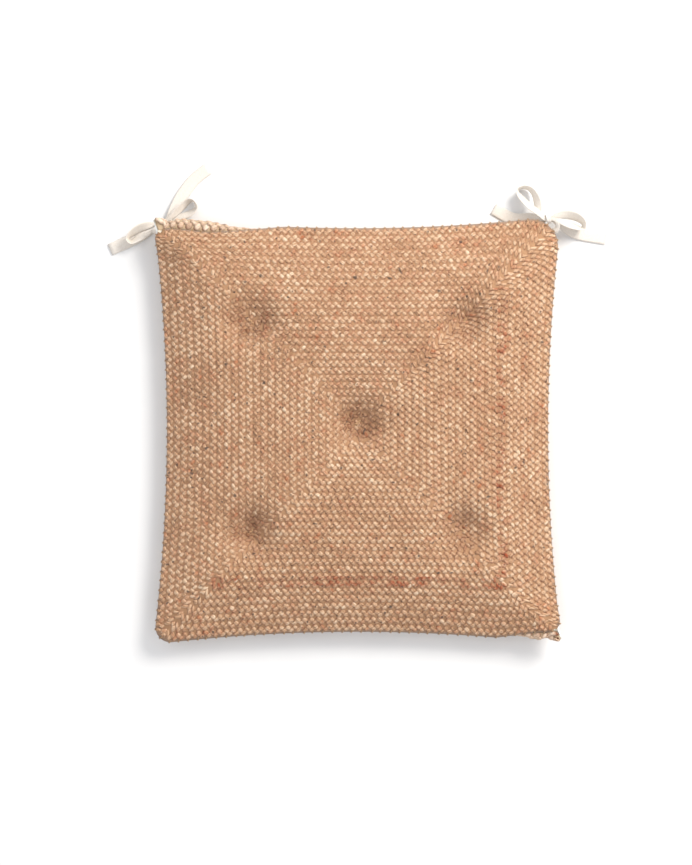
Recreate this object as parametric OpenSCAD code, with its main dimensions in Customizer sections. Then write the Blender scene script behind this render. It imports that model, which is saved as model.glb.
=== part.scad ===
// Tufted square cushion: two braided jute panels over a fibre pad, with cotton tie tapes.
// Millimetres. X to the right, Y to the rear edge with the ties, Z up.
// The origin is on the floor under the middle of the cushion.

/* [Cushion] */
// Width across the corners
pad_w = 400; // [300:5:500]
// Depth across the corners
pad_d = 420; // [300:5:520]
// Height of the crown above the floor
pad_h = 55; // [48:1:70]
// Height of the seam between the two panels
seam_h = 20; // [18:1:26]
// How far the left and right sides pull in between their corners
side_pull = 11.5; // [0:0.5:16]
// How far the front and rear sides pull in between their corners
end_pull = 10.5; // [0:0.5:16]
// Corner radius of the outline
corner_r = 15; // [12:1:24]
// Corner radius at the rear right, which is worn rounder
rear_right_r = 32; // [16:1:40]

/* [Panels] */
// Thickness of the braided jute
panel_t = 4.5; // [3:0.5:6]
// Depth of the groove between the outermost braids of the two panels
groove_depth = 1.2; // [0.6:0.1:1.6]
// Half the height of that groove
groove_half = 1.6; // [1.2:0.1:2.2]
// Width over which the bottom panel rolls up from the floor to the seam
roll_w = 30; // [24:1:44]

/* [Pad] */
// Thickness of the calico case
case_t = 0.8; // [0.6:0.1:1.2]
// Clearance between one layer and the next
layer_gap = 0.5; // [0.4:0.1:0.8]

/* [Tufting] */
// Sideways distance of the outer tufts from the middle
tuft_x = 105; // [80:1:125]
// Distance of the rear tufts from the middle
tuft_rear_y = 107; // [80:1:125]
// Distance of the front tufts from the middle
tuft_front_y = 100; // [80:1:125]
// Distance of the centre tuft behind the middle
tuft_centre_y = 7; // [0:1:12]
// Depth of the dimples in the top
top_dimple = 17; // [8:1:20]
// Depth of the dimples in the underside
bottom_dimple = 7; // [6:0.5:9]
// Diameter of the twisted tufting twine
tuft_twine_d = 3; // [2:0.2:4]
// Length of the stitch that shows on the top
tuft_stitch = 8; // [7:0.5:11]
// Diameter of the knot in the underside
tuft_knot_d = 6; // [5:0.5:7]
// Radial clearance of the twine in the holes that it makes
hole_gap = 0.2; // [0.1:0.05:0.4]

/* [Edge and ties] */
// Diameter of the twine that joins the panels
seam_twine_d = 1.8; // [1.2:0.1:2]
// Thickness of the tie tape
tape_t = 0.8; // [0.6:0.1:1]
// Diameter of the thread that tacks the tapes on
tack_d = 1.2; // [0.8:0.1:1.6]

/* [Hidden] */

// The skins are grids: rings around the middle, each with the same number of points.
arc_n = 6;
side_n = 11;
ring_n = 4 * (arc_n + side_n);
rings = 14;
// The two panels stop this far short of the seam line, so they never touch.
seam_gap = 0.15;
// Half the height of the filling's flat edge
filling_edge = 0.6;
// Shape of the dome: how square its shoulders are, and how full they are. At about 1 the top
// comes down to the seam at a slope, as two flat panels that are sewn at their edges do.
dome_square = 4;
dome_full = 1.15;
// How sharply the bottom panel bends up from the floor
roll_bend = 1.6;
// Width of a dimple in the top and in the underside
top_dimple_w = 27;
bottom_dimple_w = 17;
// A dimple in the underside ends where it is shallower than this, so the rest is one plane.
dimple_floor = 0.4;
// How far round each tuft the skins are drawn towards it
gather_r = 30;
// How far a tuft's seat is pressed into the braid
seat_sink = 0.4;
seat_r = tuft_stitch / 2 + 1.5;
knot_seat_r = tuft_knot_d / 2 + 1.5;

// Depths of the layers below the outside of the cushion
panel_in = panel_t;
case_out = panel_in + layer_gap;
case_in = case_out + case_t;
filling_out = case_in + layer_gap;

tufts = [
    [0, tuft_centre_y],
    [-tuft_x, tuft_rear_y],
    [tuft_x, tuft_rear_y],
    [-tuft_x, -tuft_front_y],
    [tuft_x, -tuft_front_y]
];

// ---- Outline -------------------------------------------------------------------------------

// Corners in order round the outline: sign of x, sign of y, radius, angle where its arc begins
corners = [
    [1, 1, rear_right_r, 0],
    [-1, 1, corner_r, 90],
    [-1, -1, corner_r, 180],
    [1, -1, corner_r, 270]
];

// A point on a corner's arc, on an outline drawn in by inset
function arc_point(corner, angle, inset) =
    let (r = max(corner[2] - inset, 2))
    [corner[0] * (pad_w / 2 - inset - r) + r * cos(angle),
     corner[1] * (pad_d / 2 - inset - r) + r * sin(angle)];

// The straight-sided outline, drawn in by inset
function square_outline(inset) = [
    for (c = [0:3])
        let (here = corners[c], next = corners[(c + 1) % 4])
        let (from = arc_point(here, here[3] + 90, inset), to = arc_point(next, next[3], inset))
        for (k = [0:arc_n + side_n - 1])
            k <= arc_n
                ? arc_point(here, here[3] + 90 * k / arc_n, inset)
                : from + (to - from) * (k - arc_n) / side_n
];

// How much of the pull a place along a side gets: all at its middle, none at its corners
function pull_share(along, half) =
    1 - pow(min(1, abs(along) / (half - corner_r)), 2);

// Draws the sides in between their corners, less and less towards the middle
function pulled(p) =
    let (u = p[0] * 2 / pad_w, v = p[1] * 2 / pad_d)
    [p[0] - side_pull * pull_share(p[1], pad_d / 2) * u * abs(u),
     p[1] - end_pull * pull_share(p[0], pad_w / 2) * v * abs(v)];

// Rings lie closer together towards the edge, where the shape turns down
function ring_share(k) = pow(sin(90 * k / rings), 0.95);

// ---- Gathers -------------------------------------------------------------------------------

// The middle and the ring points in plan, before the tufts draw them in
plan_places = concat(
    [[0, 0]],
    [for (k = [1:rings - 1]) for (q = square_outline(0)) pulled(q * ring_share(k))]
);

// Which of those places is nearest to a tuft, and how far out its ring is
function nearest(t) =
    let (away = [for (p = plan_places) norm(p - t)])
    search(min(away), away)[0];
function tuft_share(t) = nearest(t) == 0 ? 0 : ring_share(ceil(nearest(t) / ring_n));

gathers = [for (t = tufts) let (p = plan_places[nearest(t)]) [p, t - p]];

// Draws a place towards the tufts round it, so that a point of each skin lies under every tuft
function gathered(p, i = 0) =
    i == len(gathers)
        ? p
        : gathered(p, i + 1)
          + gathers[i][1] * exp(-pow(norm(p - gathers[i][0]) / gather_r, 2));

// ---- Heights -------------------------------------------------------------------------------

function dome(s) = pow(max(0, 1 - pow(s, dome_square)), 1 / dome_full);

function roll(s) =
    let (flat = 1 - 2 * roll_w / pad_w)
    s <= flat ? 1 : 1 - pow((s - flat) / (1 - flat), roll_bend);

function dimples(p, depth, width) =
    depth * max([for (t = tufts) exp(-pow(norm(p - t) / width, 2))]);

// Height of the layer that lies inset below the top, at a place a share s of the way out. Every
// layer comes down to the lip of the groove.
function upper_z(p, s, inset) =
    let (lip_z = seam_h + groove_half)
    lip_z + (pad_h - lip_z - inset) * dome(s) - dimples(p, top_dimple, top_dimple_w);

// Height of the layer that lies inset above the underside
function lower_z(p, s, inset) =
    inset + (seam_h - groove_half - inset) * (1 - roll(s))
    + max(0, dimples(p, bottom_dimple, bottom_dimple_w) - dimple_floor);

// ---- Skins ---------------------------------------------------------------------------------

// A skin is its middle point and then its rings, from the middle out to the seam. The ring at
// the edge stands edge_half off the seam line, and lip_in draws the last ring in.
function upper_skin(inset, edge_half, lip_in, lip_half) = concat(
    [for (p = [gathered([0, 0])]) [p[0], p[1], upper_z(p, 0, inset)]],
    [for (k = [1:rings - 1])
        let (s = ring_share(k))
        for (q = square_outline(inset))
            let (p = gathered(pulled(q * s)))
            [p[0], p[1], upper_z(p, s, inset)]],
    [for (q = square_outline(inset)) let (p = pulled(q)) [p[0], p[1], seam_h + edge_half]],
    [for (q = square_outline(inset + lip_in)) let (p = pulled(q)) [p[0], p[1], seam_h + lip_half]]
);

function lower_skin(inset, edge_half, lip_in, lip_half) = concat(
    [for (p = [gathered([0, 0])]) [p[0], p[1], lower_z(p, 0, inset)]],
    [for (k = [1:rings - 1])
        let (s = ring_share(k))
        for (q = square_outline(inset))
            let (p = gathered(pulled(q * s)))
            [p[0], p[1], lower_z(p, s, inset)]],
    [for (q = square_outline(inset)) let (p = pulled(q)) [p[0], p[1], seam_h - edge_half]],
    [for (q = square_outline(inset + lip_in)) let (p = pulled(q)) [p[0], p[1], seam_h - lip_half]]
);

function flip(faces) = [for (f = faces) [f[2], f[1], f[0]]];

// Triangles of one skin, seen from above, with its points starting at first
function skin_faces(first, count) = concat(
    [for (i = [0:ring_n - 1]) [first, first + 1 + (i + 1) % ring_n, first + 1 + i]],
    [for (k = [0:count - 2])
        for (i = [0:ring_n - 1])
            let (a = first + 1 + k * ring_n + i, b = first + 1 + k * ring_n + (i + 1) % ring_n)
            for (f = [[a, b, b + ring_n], [a, b + ring_n, a + ring_n]]) f]
);

// The closed body between an upper and a lower skin
module skin_body(upper, lower) {
    count = (len(upper) - 1) / ring_n;
    last_up = len(upper) - ring_n;
    last_low = len(upper) + len(lower) - ring_n;
    rim = [for (i = [0:ring_n - 1])
        let (j = (i + 1) % ring_n)
        for (f = [[last_up + i, last_up + j, last_low + j], [last_up + i, last_low + j, last_low + i]]) f];
    polyhedron(
        points = concat(upper, lower),
        faces = concat(skin_faces(0, count), flip(skin_faces(len(upper), count)), rim)
    );
}

// Holes that the tufting twine makes through a layer
module tuft_holes() {
    for (t = tufts)
        translate([t[0], t[1], -1])
            cylinder(r = tuft_twine_d / 2 + hole_gap, h = pad_h + 2, $fn = 24);
}

// ---- Panels and pad ------------------------------------------------------------------------

function top_seat_z(t) = upper_z(t, tuft_share(t), 0) - seat_sink;
function bottom_seat_z(t) = lower_z(t, tuft_share(t), 0) + seat_sink;

module top_panel() {
    color("#c69e7c")
        difference() {
            skin_body(
                upper_skin(0, groove_half, groove_depth, seam_gap),
                upper_skin(panel_in, groove_half, 0, seam_gap)
            );
            tuft_holes();
            for (t = tufts)
                translate([t[0], t[1], top_seat_z(t)])
                    cylinder(r = seat_r, h = pad_h, $fn = 32);
        }
}

module bottom_panel() {
    color("#d8bfa0")
        difference() {
            skin_body(
                lower_skin(panel_in, groove_half, 0, seam_gap),
                lower_skin(0, groove_half, groove_depth, seam_gap)
            );
            tuft_holes();
            for (t = tufts)
                translate([t[0], t[1], -pad_h])
                    cylinder(r = knot_seat_r, h = pad_h + bottom_seat_z(t), $fn = 32);
        }
}

module pad_case_top() {
    color("#efe6d4")
        difference() {
            skin_body(
                upper_skin(case_out, groove_half, 0, seam_gap),
                upper_skin(case_in, groove_half, 0, seam_gap)
            );
            tuft_holes();
        }
}

module pad_case_bottom() {
    color("#e9dfca")
        difference() {
            skin_body(
                lower_skin(case_in, groove_half, 0, seam_gap),
                lower_skin(case_out, groove_half, 0, seam_gap)
            );
            tuft_holes();
        }
}

module pad_filling() {
    color("#f7f5ef")
        difference() {
            skin_body(
                upper_skin(filling_out, groove_half, 0, filling_edge),
                lower_skin(filling_out, groove_half, 0, filling_edge)
            );
            tuft_holes();
        }
}

// ---- Tufts ---------------------------------------------------------------------------------

// One tuft: a stitch across the braid on the top, the twine down through the cushion, and the
// knot that holds it in the underside.
module tuft(t, turn) {
    stitch_r = tuft_twine_d / 2 - 0.2;
    top_z = top_seat_z(t) + stitch_r;
    knot_z = bottom_seat_z(t) - tuft_knot_d / 2;
    color("#b98f63")
        translate([t[0], t[1], 0]) {
            translate([0, 0, knot_z])
                cylinder(r = tuft_twine_d / 2, h = top_z - knot_z, $fn = 24);
            translate([0, 0, knot_z])
                sphere(r = tuft_knot_d / 2, $fn = 32);
            translate([0, 0, top_z])
                rotate([0, 90, turn]) {
                    cylinder(r = stitch_r, h = tuft_stitch - 2 * stitch_r, center = true, $fn = 24);
                    for (end = [-1, 1])
                        translate([0, 0, end * (tuft_stitch / 2 - stitch_r)])
                            sphere(r = stitch_r, $fn = 24);
                }
        }
}

module tuft_centre() tuft(tufts[0], 35);
module tuft_rear_left() tuft(tufts[1], -45);
module tuft_rear_right() tuft(tufts[2], 50);
module tuft_front_left() tuft(tufts[3], 40);
module tuft_front_right() tuft(tufts[4], -50);

// ---- Edge ----------------------------------------------------------------------------------

seam_sides = 8;

module edge_seam_twine() {
    r = seam_twine_d / 2;
    outer = [for (q = square_outline(-r)) pulled(q)];
    inner = [for (q = square_outline(r)) pulled(q)];
    points = [
        for (i = [0:ring_n - 1])
            for (k = [0:seam_sides - 1])
                let (a = 360 * k / seam_sides)
                let (p = (outer[i] * (1 + cos(a)) + inner[i] * (1 - cos(a))) / 2)
                [p[0], p[1], seam_h + r * sin(a)]
    ];
    faces = [
        for (i = [0:ring_n - 1])
            for (k = [0:seam_sides - 1])
                let (i2 = (i + 1) % ring_n, k2 = (k + 1) % seam_sides)
                let (a = i * seam_sides + k, b = i * seam_sides + k2)
                let (c = i2 * seam_sides + k2, d = i2 * seam_sides + k)
                for (f = [[a, b, c], [a, c, d]]) f
    ];
    color("#caa988") polyhedron(points = points, faces = faces);
}

// ---- Ties ----------------------------------------------------------------------------------

// Where each bow sits: a point on the outline at its corner
right_base = arc_point(corners[0], 50, 0);
left_base = arc_point(corners[1], 135, 0);

// A route's rows are [x, y, z], how much of the seam's height is added to z, the direction
// that the tape's width lies in, and its width there. x and y are from the bow's base, and z
// is from the floor. The tape is gathered to a few millimetres where it runs through a knot.
right_rear_route = [
    [[6, -5.5, -4], 1, [-0.6, 0.8, 0], 5],
    [[9, -2.5, -2.6], 1, [-0.8, 0.6, 0], 5],
    [[9.5, 2.8, 0.6], 1, [-0.9, -0.4, 0], 3.6],
    [[5, 6, 0], 1, [0, -1, 0], 3.2],
    [[-3, 6, 0], 1, [0, -1, 0], 3.2],
    [[-9, 12, -0.6], 1, [-0.5, -0.6, 0.4], 6],
    [[-18, 20, 1], 0.6, [-0.5, -0.4, 0.8], 11],
    [[-26, 29, 3.5], 0.3, [-0.5, -0.2, 0.9], 12],
    [[-29, 36, 6.2], 0.05, [-0.2, 0, 1], 12],
    [[-24, 39, 6.6], 0, [0, 0.2, 1], 12],
    [[-17, 37, 6.2], 0.05, [0.2, 0.2, 1], 12],
    [[-12, 30, 3.5], 0.3, [0.4, 0.1, 0.9], 12],
    [[-9, 20, 2], 0.55, [0.6, 0.2, 0.5], 9],
    [[-8.4, 12.5, -4.6], 1, [0.9, 0.2, 0.1], 4],
    [[-5.6, 7, -4.1], 1, [0.6, 0.8, 0], 3],
    [[4, 5.8, -4], 1, [0.1, 1, 0], 3],
    [[13, 1, -1.5], 0.6, [0.4, 0.9, 0], 7],
    [[30, -6.5, 0.6], 0.06, [0.3, 1, 0], 12],
    [[59, -12, 1], 0, [0.1, 1, 0], 12]
];

right_side_route = [
    [[-9, 6.6, -6.2], 1, [0.3, 1, 0], 3.4],
    [[-5.4, 5.2, -6.6], 1, [0.2, 1, 0], 3.2],
    [[-2.6, 5, -6], 1, [-0.4, 0.8, 0], 3.2],
    [[-1.8, 8, -6], 1, [-1, 0, 0], 3.2],
    [[-1, 10.3, -2], 1, [-1, 0, 0], 3.4],
    [[-0.2, 8, 2], 1, [-1, 0, 0], 4],
    [[0.8, 4, 2], 1, [-1, 0, 0], 4],
    [[1.6, 2, -2], 1, [-1, 0, 0], 3.4],
    [[2.4, 4.5, -6.2], 1, [-1, 0.3, 0], 3.2],
    [[6, 9, -6.4], 1, [-0.7, 0.7, 0.2], 3.6],
    [[16, 11.5, -2], 0.7, [-0.2, 0.8, 0.5], 9],
    [[28, 9.5, 3], 0.35, [0.2, 0.6, 0.8], 12],
    [[36, 3.5, 8.5], 0, [0.3, 0.2, 1], 12],
    [[35, -2, 8.5], 0, [0.2, -0.4, 1], 12],
    [[25, 0, 5], 0.35, [0, -0.6, 0.8], 11],
    [[13, 3.4, -2.2], 1, [-0.1, -0.9, 0.3], 5],
    [[5, 6, -2], 1, [0, -1, 0], 3.2],
    [[-8, 6, -2.1], 1, [0, -1, 0], 3.2],
    [[-15, 8.5, 1], 0.6, [0.2, -1, 0.1], 8],
    [[-34, 8, 1], 0.04, [-0.1, -1, 0], 12],
    [[-53, 18, 1], 0, [-0.5, -0.9, 0], 12]
];

left_rear_route = [
    [[-2.6, -9, -7.5], 1, [-0.2, -1, 0], 4],
    [[-6.2, -8.4, 10.4], 0, [-0.5, -0.8, 0], 4],
    [[-6.2, -5.6, 8.4], 0, [-1, -0.2, 0], 3.6],
    [[-2.9, -3.4, 7.5], 0, [-0.6, 0.8, 0], 3.2],
    [[4.3, 2, 7.5], 0, [-0.6, 0.8, 0], 3.2],
    [[10, 6, 8.2], 0, [-0.5, 0.7, 0.3], 5],
    [[17, 12.5, 7.8], 0, [-0.4, 0.5, 0.7], 9],
    [[26, 21, 6.8], 0, [-0.3, 0.3, 0.9], 12],
    [[32, 22.5, 6.6], 0, [0, 0.1, 1], 12],
    [[35, 16, 6.6], 0, [0.3, -0.1, 1], 12],
    [[30, 10.5, 6.4], 0, [0.3, -0.4, 0.8], 12],
    [[19, 6, 5], 0, [0.3, -0.7, 0.6], 9],
    [[10, 3, 3.8], 0, [0.4, -0.9, 0.2], 4.4],
    [[4.3, 1.8, 3.7], 0, [0.6, -0.8, 0], 3.2],
    [[-2.9, -3.4, 3.7], 0, [0.6, -0.8, 0], 3.2],
    [[-12, -9.4, 2.2], 0, [0.5, -0.9, 0], 6],
    [[-26, -14.8, 0.9], 0, [0.4, -0.9, 0], 12],
    [[-51, -26, 1], 0, [0.4, -0.9, 0], 12]
];

left_side_route = [
    [[11.4, 1, -10.5], 1, [-0.7, 0.7, 0], 4],
    [[8.4, -1.4, 4.4], 0, [-0.7, 0.7, 0], 3.4],
    [[4.6, -2.6, 1.6], 0, [0.2, 1, 0], 3.2],
    [[0.9, 2, 1.5], 0, [0.8, 0.6, 0], 3.2],
    [[-0.9, 3.1, 5.6], 0, [0.8, 0.6, 0], 3.4],
    [[-0.3, 1, 9.6], 0, [0.8, 0.6, 0], 3.6],
    [[1.3, -2.8, 9.6], 0, [0.8, 0.6, 0], 3.6],
    [[1.8, -4.9, 5.6], 0, [0.8, 0.6, 0], 3.4],
    [[-0.3, -3.3, 1.4], 0, [0.7, 0.7, 0], 3],
    [[-5.5, -0.6, 1.6], 0, [0.1, 1, 0], 3.2],
    [[-13, -2.2, 5.4], 0, [-0.2, 0.8, 0.5], 8],
    [[-21, -5, 6.8], 0, [-0.4, 0.5, 0.8], 12],
    [[-29, -10, 7.8], 0, [-0.4, 0.2, 0.9], 12],
    [[-33, -15.5, 8], 0, [-0.2, -0.2, 1], 12],
    [[-29, -18.5, 8], 0, [0.1, -0.4, 0.9], 12],
    [[-21, -14, 8.6], 0, [0.3, -0.6, 0.7], 11],
    [[-11, -8.5, 6.2], 0, [0.4, -0.8, 0.2], 5],
    [[-2.9, -3.4, 5.6], 0, [0.6, -0.8, 0], 3.2],
    [[4.3, 2, 5.6], 0, [0.6, -0.8, 0], 3.2],
    [[7.4, 7, 5], 0, [0.9, -0.5, 0], 4],
    [[14, 18, 4], 0, [0.9, -0.5, 0.2], 9],
    [[22, 30, 2.4], 0, [0.8, -0.6, 0.1], 12],
    [[33, 44, 1.2], 0, [0.8, -0.6, 0], 12],
    [[47, 55, 1], 0, [0.7, -0.7, 0], 12]
];

function unit(v) = v / norm(v);

// The tape's section: a flat bar with its edges eased
tape_sides = 8;
ease = 0.3;
function tape_section(w) =
    let (t = gathered_t(w))
    [[w / 2, -t / 4], [w / 2, t / 4], [w / 2 - ease, t / 2], [ease - w / 2, t / 2],
     [-w / 2, t / 4], [-w / 2, -t / 4], [ease - w / 2, -t / 2], [w / 2 - ease, -t / 2]];

// A tape drawn together gets thicker, up to twice over
function gathered_t(w) = tape_t * min(1.9, pow(12 / w, 0.5));

function route_point(base, row) = [
    base[0] + row[0][0],
    base[1] + row[0][1],
    row[0][2] + row[1] * seam_h
];

module tape(base, route) {
    last = len(route) - 1;
    path = [for (row = route) route_point(base, row)];
    points = [
        for (i = [0:last])
            let (along = unit(path[min(i + 1, last)] - path[max(i - 1, 0)]))
            let (face = unit(cross(along, route[i][2])))
            let (across = cross(face, along))
            for (q = tape_section(route[i][3])) path[i] + across * q[0] + face * q[1]
    ];
    // The two wide faces are split along the same diagonal, so they stay a tape's thickness apart.
    sides = [
        for (i = [0:last - 1])
            for (k = [0:tape_sides - 1])
                let (k2 = (k + 1) % tape_sides)
                let (a = i * tape_sides + k, b = i * tape_sides + k2)
                let (c = b + tape_sides, d = a + tape_sides)
                for (f = k < tape_sides / 2 ? [[a, c, b], [a, d, c]] : [[a, d, b], [d, c, b]]) f
    ];
    ends = [
        for (k = [1:tape_sides - 2])
            for (f = [[0, k, k + 1], [last * tape_sides, last * tape_sides + k + 1, last * tape_sides + k]]) f
    ];
    color("#ece4da") polyhedron(points = points, faces = concat(sides, ends));
}

// Gap that keeps a tack's bar off the bend of its tape
tack_gap = 0.15;

// A bar of tacking thread across the underside of a tape's root
module tack(base, route) {
    here = route_point(base, route[0]);
    along = unit(route_point(base, route[1]) - here);
    face = unit(cross(along, route[0][2]));
    outward = face[2] > 0 ? -face : face;
    across = cross(face, along);
    bar_r = tack_d / 2;
    bar_l = route[0][3] + 1;
    translate(here + along * bar_r * 1.5 + outward * (gathered_t(route[0][3]) / 2 + bar_r + tack_gap))
        rotate([0, acos(across[2]), atan2(across[1], across[0])]) {
            cylinder(r = bar_r, h = bar_l, center = true, $fn = 24);
            for (end = [-1, 1])
                translate([0, 0, end * bar_l / 2])
                    sphere(r = bar_r, $fn = 24);
        }
}

module left_tie_tack() {
    color("#f1ece2") {
        tack(left_base, left_rear_route);
        tack(left_base, left_side_route);
    }
}

module right_tie_tack() {
    color("#f1ece2") {
        tack(right_base, right_rear_route);
        tack(right_base, right_side_route);
    }
}

module left_tie_rear_tape() tape(left_base, left_rear_route);
module left_tie_side_tape() tape(left_base, left_side_route);
module right_tie_rear_tape() tape(right_base, right_rear_route);
module right_tie_side_tape() tape(right_base, right_side_route);

top_panel();
bottom_panel();
edge_seam_twine();
pad_case_top();
pad_case_bottom();
pad_filling();
tuft_centre();
tuft_rear_left();
tuft_rear_right();
tuft_front_left();
tuft_front_right();
left_tie_rear_tape();
left_tie_side_tape();
right_tie_rear_tape();
right_tie_side_tape();
left_tie_tack();
right_tie_tack();
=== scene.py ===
# %% [markdown]
# # A braided jute cushion with cotton ties
# The cushion is two flat panels of plaited jute with a soft pad between them. Each panel is one long
# plait, coiled into a square and sewn row to row. Five tufts of twine hold the pad, and a cotton tape
# bow sits at each rear corner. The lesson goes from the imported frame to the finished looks: camera and
# ties first, then the pad's shape, the plaits that lie on it, the stitches, and the finishes.

# %% Load the frame
import math

import bpy
import numpy as np
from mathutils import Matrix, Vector, noise


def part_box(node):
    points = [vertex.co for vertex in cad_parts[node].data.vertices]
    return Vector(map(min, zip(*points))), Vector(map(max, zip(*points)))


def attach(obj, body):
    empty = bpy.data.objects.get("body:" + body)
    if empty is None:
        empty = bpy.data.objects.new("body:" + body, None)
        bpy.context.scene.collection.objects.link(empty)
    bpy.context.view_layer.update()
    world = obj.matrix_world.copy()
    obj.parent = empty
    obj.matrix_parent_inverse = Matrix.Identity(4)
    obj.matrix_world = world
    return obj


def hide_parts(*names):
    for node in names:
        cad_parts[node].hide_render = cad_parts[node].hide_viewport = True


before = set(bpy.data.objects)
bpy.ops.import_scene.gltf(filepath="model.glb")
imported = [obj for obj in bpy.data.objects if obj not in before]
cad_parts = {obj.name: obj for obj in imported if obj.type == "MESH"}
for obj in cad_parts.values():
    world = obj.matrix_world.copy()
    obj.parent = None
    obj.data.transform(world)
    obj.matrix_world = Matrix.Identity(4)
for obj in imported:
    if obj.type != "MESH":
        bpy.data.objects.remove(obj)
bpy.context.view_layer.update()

MM = 0.001
UP = Vector((0, 0, 1))
print("nodes:", len(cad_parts))

# %% [markdown]
# ## Sizes that come from the frame
# The CAD part says how big the cushion is, where its seam runs and where each tuft goes down. Reading
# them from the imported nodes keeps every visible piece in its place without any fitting.

# %% Sizes
panel_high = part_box("top_panel")[1]
seam_low, seam_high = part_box("edge_seam_twine")
HALF_W = panel_high.x
HALF_D = panel_high.y
CROWN_Z = panel_high.z
SEAM_Z = (seam_low.z + seam_high.z) / 2
CORNER_R = 15 * MM
REAR_RIGHT_R = 32 * MM
SIDE_PULL = 11.5 * MM
END_PULL = 10.5 * MM
TUFT_NAMES = ["tuft_centre", "tuft_rear_left", "tuft_rear_right", "tuft_front_left", "tuft_front_right"]


def node_middle(name):
    low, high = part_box(name)
    return (low + high) / 2


tufts = {name: node_middle(name) for name in TUFT_NAMES}
print(f"cushion {2 * HALF_W:.3f} x {2 * HALF_D:.3f} x {CROWN_Z:.3f} m, seam at {SEAM_Z:.3f}")

# %% [markdown]
# ## Small helpers
# Every node tree in the lesson is written with the same few helpers. One turns a colour in sRGB hex to
# the linear numbers a shader wants. Another adds a node, sets its options and wires its inputs in one
# call, so that a tree reads from top to bottom like a recipe, and two short forms of it do sums.

# %% Colour and node helpers
def colour(hex_code):
    parts = [int(hex_code[i:i + 2], 16) / 255 for i in (1, 3, 5)]
    return tuple(c / 12.92 if c <= 0.04045 else ((c + 0.055) / 1.055) ** 2.4 for c in parts) + (1,)


FAMILIES = ("ShaderNode", "GeometryNode", "FunctionNode", "")


def add(tree, kind, into=None, **settings):
    """Adds a node of a kind, named without its family, with its settings and then its inputs.

    An input is given a value, a socket, or a node, which stands for the node's first output."""
    node = tree.nodes.new(next(f + kind for f in FAMILIES if hasattr(bpy.types, f + kind)))
    for key, value in settings.items():
        setattr(node, key, value)
    for key, value in (into or {}).items():
        socket = node.inputs[key] if isinstance(key, int) else next(
            s for s in node.inputs if s.enabled and s.name == key)
        if isinstance(value, bpy.types.Node):
            value = next(s for s in value.outputs if s.enabled)
        if isinstance(value, bpy.types.NodeSocket):
            tree.links.new(value, socket)
        else:
            socket.default_value = value
    return node


def maths(tree, operation, *inputs):
    return add(tree, "Math", dict(enumerate(inputs)), operation=operation)


def between(tree, value, start=0.0, end=1.0, low=0.0, high=1.0, **settings):
    """Maps a value's run from start to end onto low to high, and holds it there beyond."""
    return add(tree, "MapRange", {"Value": value, "From Min": start, "From Max": end,
                                  "To Min": low, "To Max": high}, **settings)


def mesh_object(name, points, faces, smooth=True):
    mesh = bpy.data.meshes.new(name)
    mesh.from_pydata([tuple(p) for p in points], [], faces)
    mesh.validate()
    mesh.polygons.foreach_set("use_smooth", [smooth] * len(mesh.polygons))
    piece = bpy.data.objects.new(name, mesh)
    bpy.context.scene.collection.objects.link(piece)
    return piece


def line_object(name, lines):
    """Open lines through points, as one mesh of edges."""
    points, edges = [], []
    for line in lines:
        first = len(points)
        points += [tuple(p) for p in line]
        edges += [(first + i, first + i + 1) for i in range(len(line) - 1)]
    mesh = bpy.data.meshes.new(name)
    mesh.from_pydata(points, edges, [])
    piece = bpy.data.objects.new(name, mesh)
    bpy.context.scene.collection.objects.link(piece)
    return piece


# %% [markdown]
# ## Camera, floor and light
# The cushion is looked at straight down, as a buyer sees it laid on a white table. A long lens keeps
# the sides from leaning. The light is one big soft lamp high at the rear right with a white room for
# fill, so the dimples shade gently and the bows throw only a faint shadow.

# %% Camera
VIEW_HEIGHT = 0.856
CAMERA_UP = 2.6
SENSOR = 36
camera_data = bpy.data.cameras.new("camera")
camera_data.sensor_width = SENSOR
camera_data.lens = SENSOR * (CAMERA_UP - SEAM_Z) / VIEW_HEIGHT
camera = bpy.data.objects.new("camera", camera_data)
camera.location = (-11.4 * MM, -2.5 * MM, CAMERA_UP)
bpy.context.scene.collection.objects.link(camera)
bpy.context.scene.camera = camera

# %% Floor and lights
TABLE = 4
floor = mesh_object("floor", [(x * TABLE, y * TABLE, 0) for x, y in ((-1, -1), (1, -1), (1, 1), (-1, 1))],
                    [(0, 1, 2, 3)])


def area_light(name, place, size, watts, tint="#ffffff"):
    lamp = bpy.data.lights.new(name, "AREA")
    lamp.size = size
    lamp.energy = watts
    lamp.color = colour(tint)[:3]
    rig = bpy.data.objects.new(name, lamp)
    rig.location = place
    rig.rotation_euler = (Vector((0, 0, 0.02)) - Vector(place)).to_track_quat("-Z", "Y").to_euler()
    bpy.context.scene.collection.objects.link(rig)


area_light("key", (1.3, 1.4, 1.5), 1.1, 60, "#fffbf6")
area_light("fill", (-1.2, -0.4, 2.6), 2.6, 16, "#f6f9ff")

world = bpy.data.worlds.new("room")
world.use_nodes = True
world.node_tree.nodes["Background"].inputs["Color"].default_value = colour("#fcfcff")
world.node_tree.nodes["Background"].inputs["Strength"].default_value = 0.8
bpy.context.scene.world = world
bpy.context.scene.view_settings.view_transform = "Standard"

# %% [markdown]
# ## The cotton ties
# Each corner has two tapes of 12 mm cotton twill. One makes the rear loop of the bow, the other wraps
# the knot once and makes the side loop, and each ends in a tail cut square. A tape is a strip swept
# along a route: the rows below give a place, how much of the seam's height is added to it, the
# direction in which the width lies, and the width, which is a few millimetres where the tape is
# gathered in the knot. The routes are those of the CAD part. Between rows the strip follows a smooth
# curve, it is slightly cupped, and its gathered stretches are folded along their length.

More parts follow.
